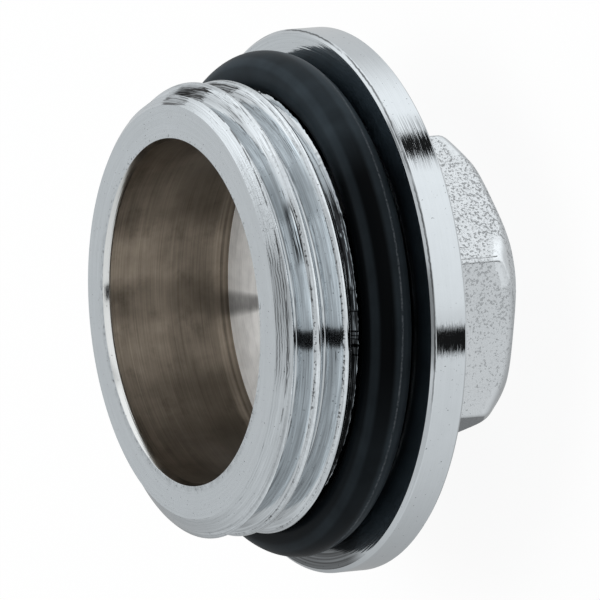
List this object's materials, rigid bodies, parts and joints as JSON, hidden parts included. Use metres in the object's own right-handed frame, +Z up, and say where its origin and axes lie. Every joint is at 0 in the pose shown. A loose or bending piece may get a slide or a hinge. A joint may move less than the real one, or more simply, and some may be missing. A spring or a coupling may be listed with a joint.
{
  "type": "manifold blanking plug",
  "caption": "Chrome-plated brass blanking plug for a heating manifold: a hollow threaded spigot, a round flange with a black O-ring in front of it, and a hexagon head behind.",
  "frame": {"origin": "centre of the hexagon head's end face, on which the plug stands", "axes": "+Z up the plug's axis, from the head's end face towards the open threaded end; +X towards one corner of the hexagon"},
  "size_m": [0.0398, 0.0398, 0.0223],
  "materials": {
    "chromed_brass": "bright chrome plating over turned and forged brass: mirror-like on the turned spigot and flange, shot-blasted and pebbled on the hexagon head, duller and brownish inside the bore",
    "seal_rubber": "matt black moulded rubber with a faint parting line"
  },
  "bodies": {
    "root": {"plug_body": "chromed_brass", "o_ring": "seal_rubber"}
  },
  "joints": []
}
